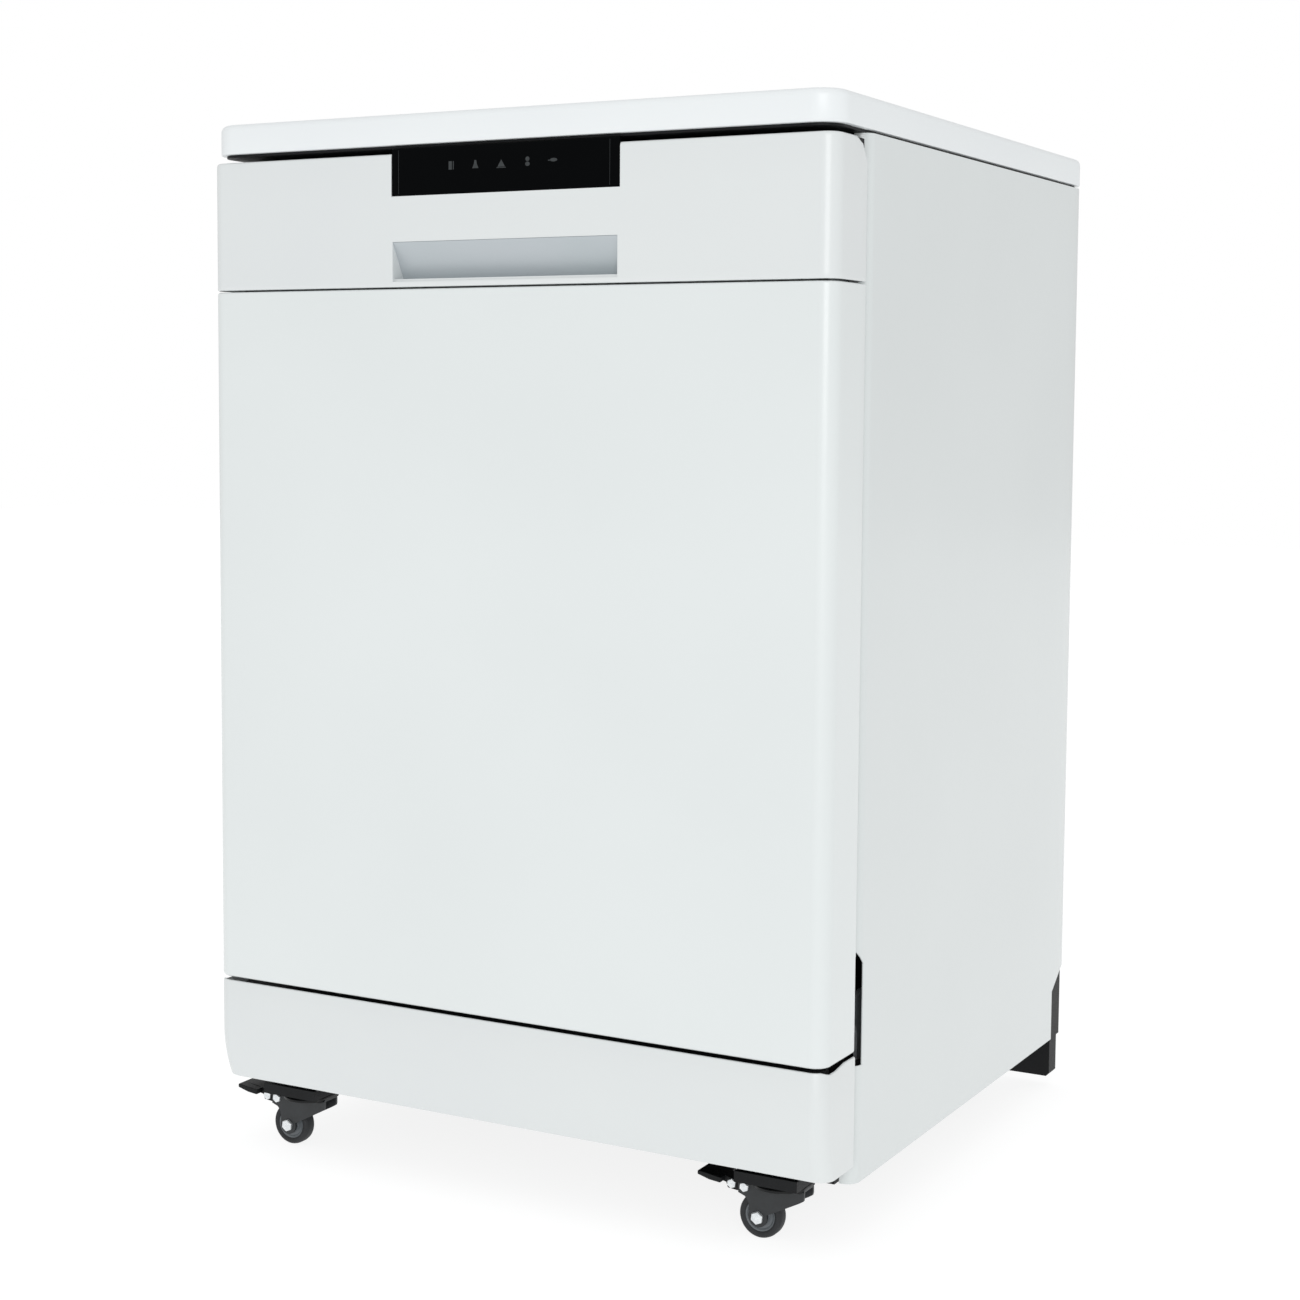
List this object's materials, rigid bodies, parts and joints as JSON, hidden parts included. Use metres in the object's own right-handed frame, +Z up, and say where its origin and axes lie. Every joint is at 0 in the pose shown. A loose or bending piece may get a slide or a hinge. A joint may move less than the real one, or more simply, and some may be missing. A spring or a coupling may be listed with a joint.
{
  "type": "portable dishwasher",
  "caption": "Free-standing front-loading dishwasher in a white cabinet with a worktop, a drop-down door, two sliding racks, spray arms and braked swivel casters.",
  "frame": {"origin": "on the floor, under the middle of the cabinet's width and depth", "axes": "+Z up, the door faces -Y, +X to the right seen from the front"},
  "size_m": [0.605, 0.6, 0.917],
  "materials": {
    "worktop_laminate": "white moulded top, satin",
    "white_enamel": "white powder coat on sheet steel, satin",
    "white_moulding": "white moulded plastic, satin",
    "black_display": "gloss black window",
    "silver_moulding": "silver-grey moulded plastic",
    "stainless_steel": "fine brushed stainless steel",
    "galvanised_steel": "zinc-plated sheet steel",
    "black_moulding": "black moulded plastic, matt",
    "grey_moulding": "grey moulded plastic",
    "coated_wire": "grey nylon-coated steel wire",
    "black_rubber": "black soft rubber",
    "grey_rubber": "dark grey hard rubber tyre",
    "black_steel": "black painted pressed steel"
  },
  "bodies": {
    "cabinet": {"worktop": "worktop_laminate", "left_side_panel": "white_enamel", "right_side_panel": "white_enamel", "rear_panel": "galvanised_steel", "base_pan": "black_moulding", "left_rear_block": "black_moulding", "right_rear_block": "black_moulding", "kick_plate": "white_moulding", "tub": "stainless_steel", "door_gasket": "black_rubber", "bottom_seal": "black_rubber", "latch_keeper": "galvanised_steel", "left_hinge_bracket": "galvanised_steel", "right_hinge_bracket": "galvanised_steel", "left_door_spring": "galvanised_steel", "right_door_spring": "galvanised_steel", "left_rail_bracket": "stainless_steel", "right_rail_bracket": "stainless_steel", "sump": "grey_moulding", "circulation_pump": "black_moulding", "drain_pump": "black_moulding", "hose_connector": "grey_moulding", "cable_gland": "black_moulding", "caster_front_left_plate": "black_steel", "caster_front_right_plate": "black_steel", "caster_rear_left_plate": "black_steel", "caster_rear_right_plate": "black_steel"},
    "door": {"door_outer_panel": "white_enamel", "control_fascia": "white_moulding", "display_window": "black_display", "handle_pocket": "silver_moulding", "door_inner_liner": "stainless_steel", "detergent_dispenser": "grey_moulding", "door_latch": "black_moulding", "left_hinge_arm": "galvanised_steel", "right_hinge_arm": "galvanised_steel"},
    "dispenser_lid": {"dispenser_lid": "grey_moulding"},
    "rinse_aid_cap": {"rinse_aid_cap": "black_moulding"},
    "rack_rails": {"left_rack_rail": "stainless_steel", "right_rack_rail": "stainless_steel"},
    "upper_rack": {"upper_rack": "coated_wire"},
    "upper_spray_arm": {"upper_spray_arm": "stainless_steel"},
    "lower_rack": {"lower_rack": "coated_wire", "cutlery_basket": "grey_moulding"},
    "rack_wheel_front_left": {"rack_wheel_front_left": "grey_moulding"},
    "rack_wheel_front_right": {"rack_wheel_front_right": "grey_moulding"},
    "rack_wheel_rear_left": {"rack_wheel_rear_left": "grey_moulding"},
    "rack_wheel_rear_right": {"rack_wheel_rear_right": "grey_moulding"},
    "lower_spray_arm": {"lower_spray_arm": "stainless_steel"},
    "filter": {"filter": "grey_moulding"},
    "fork_front_left": {"caster_front_left_fork": "black_steel"},
    "fork_front_right": {"caster_front_right_fork": "black_steel"},
    "fork_rear_left": {"caster_rear_left_fork": "black_steel"},
    "fork_rear_right": {"caster_rear_right_fork": "black_steel"},
    "wheel_front_left": {"caster_front_left_wheel": "grey_rubber"},
    "wheel_front_right": {"caster_front_right_wheel": "grey_rubber"},
    "wheel_rear_left": {"caster_rear_left_wheel": "grey_rubber"},
    "wheel_rear_right": {"caster_rear_right_wheel": "grey_rubber"},
    "pedal_front_left": {"caster_front_left_pedal": "black_moulding"},
    "pedal_front_right": {"caster_front_right_pedal": "black_moulding"}
  },
  "joints": [
    {"name": "door_hinge", "type": "hinge", "parent": "cabinet", "child": "door", "pos_m": [0, -0.28, 0.192], "axis": [1, 0, 0], "range_deg": [0, 90], "stiffness_Nm_per_rad": 19.5, "springref_deg": -5.73},
    {"name": "dispenser_lid_slide", "type": "slide", "parent": "door", "child": "dispenser_lid", "axis": [-1, 0, 0], "range_m": [0, 0.07]},
    {"name": "rinse_cap_turn", "type": "hinge", "parent": "door", "child": "rinse_aid_cap", "pos_m": [0.042, -0.238, 0.509], "axis": [0, 1, 0], "range_deg": [0, 90]},
    {"name": "rail_slide", "type": "slide", "parent": "cabinet", "child": "rack_rails", "axis": [0, -1, 0], "range_m": [0, 0.226]},
    {"name": "upper_rack_slide", "type": "slide", "parent": "rack_rails", "child": "upper_rack", "axis": [0, -1, 0], "range_m": [0, 0.226]},
    {"name": "upper_arm_spin", "type": "hinge", "parent": "upper_rack", "child": "upper_spray_arm", "pos_m": [0, 0.016, 0.54], "axis": [0, 0, 1], "continuous": true},
    {"name": "lower_rack_slide", "type": "slide", "parent": "cabinet", "child": "lower_rack", "axis": [0, -1, 0], "range_m": [0, 0.158]},
    {"name": "rack_wheel_front_left_roll", "type": "hinge", "parent": "lower_rack", "child": "rack_wheel_front_left", "pos_m": [-0.262, -0.12, 0.2578], "axis": [1, 0, 0], "continuous": true},
    {"name": "rack_wheel_front_right_roll", "type": "hinge", "parent": "lower_rack", "child": "rack_wheel_front_right", "pos_m": [0.262, -0.12, 0.2578], "axis": [1, 0, 0], "continuous": true},
    {"name": "rack_wheel_rear_left_roll", "type": "hinge", "parent": "lower_rack", "child": "rack_wheel_rear_left", "pos_m": [-0.262, 0.196, 0.2578], "axis": [1, 0, 0], "continuous": true},
    {"name": "rack_wheel_rear_right_roll", "type": "hinge", "parent": "lower_rack", "child": "rack_wheel_rear_right", "pos_m": [0.262, 0.196, 0.2578], "axis": [1, 0, 0], "continuous": true},
    {"name": "lower_arm_spin", "type": "hinge", "parent": "cabinet", "child": "lower_spray_arm", "pos_m": [0, 0.016, 0.247], "axis": [0, 0, 1], "continuous": true},
    {"name": "filter_twist", "type": "hinge", "parent": "cabinet", "child": "filter", "pos_m": [0, -0.018, 0.2], "axis": [0, 0, 1], "range_deg": [0, 90]},
    {"name": "caster_front_left_swivel", "type": "hinge", "parent": "cabinet", "child": "fork_front_left", "pos_m": [-0.238, -0.248, 0.04], "axis": [0, 0, 1], "continuous": true},
    {"name": "caster_front_right_swivel", "type": "hinge", "parent": "cabinet", "child": "fork_front_right", "pos_m": [0.238, -0.248, 0.04], "axis": [0, 0, 1], "continuous": true},
    {"name": "caster_rear_left_swivel", "type": "hinge", "parent": "cabinet", "child": "fork_rear_left", "pos_m": [-0.238, 0.205, 0.04], "axis": [0, 0, 1], "continuous": true},
    {"name": "caster_rear_right_swivel", "type": "hinge", "parent": "cabinet", "child": "fork_rear_right", "pos_m": [0.238, 0.205, 0.04], "axis": [0, 0, 1], "continuous": true},
    {"name": "caster_front_left_roll", "type": "hinge", "parent": "fork_front_left", "child": "wheel_front_left", "pos_m": [-0.253, -0.248, 0.019], "axis": [0, 1, 0], "continuous": true},
    {"name": "caster_front_right_roll", "type": "hinge", "parent": "fork_front_right", "child": "wheel_front_right", "pos_m": [0.223, -0.248, 0.019], "axis": [0, 1, 0], "continuous": true},
    {"name": "caster_rear_left_roll", "type": "hinge", "parent": "fork_rear_left", "child": "wheel_rear_left", "pos_m": [-0.253, 0.205, 0.019], "axis": [0, 1, 0], "continuous": true},
    {"name": "caster_rear_right_roll", "type": "hinge", "parent": "fork_rear_right", "child": "wheel_rear_right", "pos_m": [0.223, 0.205, 0.019], "axis": [0, 1, 0], "continuous": true},
    {"name": "pedal_front_left_press", "type": "hinge", "parent": "fork_front_left", "child": "pedal_front_left", "pos_m": [-0.265, -0.248, 0.0426], "axis": [0, -1, 0], "range_deg": [0, 12]},
    {"name": "pedal_front_right_press", "type": "hinge", "parent": "fork_front_right", "child": "pedal_front_right", "pos_m": [0.211, -0.248, 0.0426], "axis": [0, -1, 0], "range_deg": [0, 12]}
  ],
  "couplings": [
    {"joint": "rail_slide", "follows": "door_hinge", "m_per_rad": 0.14324},
    {"joint": "upper_rack_slide", "follows": "door_hinge", "m_per_rad": 0.14324},
    {"joint": "lower_rack_slide", "follows": "door_hinge", "m_per_rad": 0.1}
  ]
}
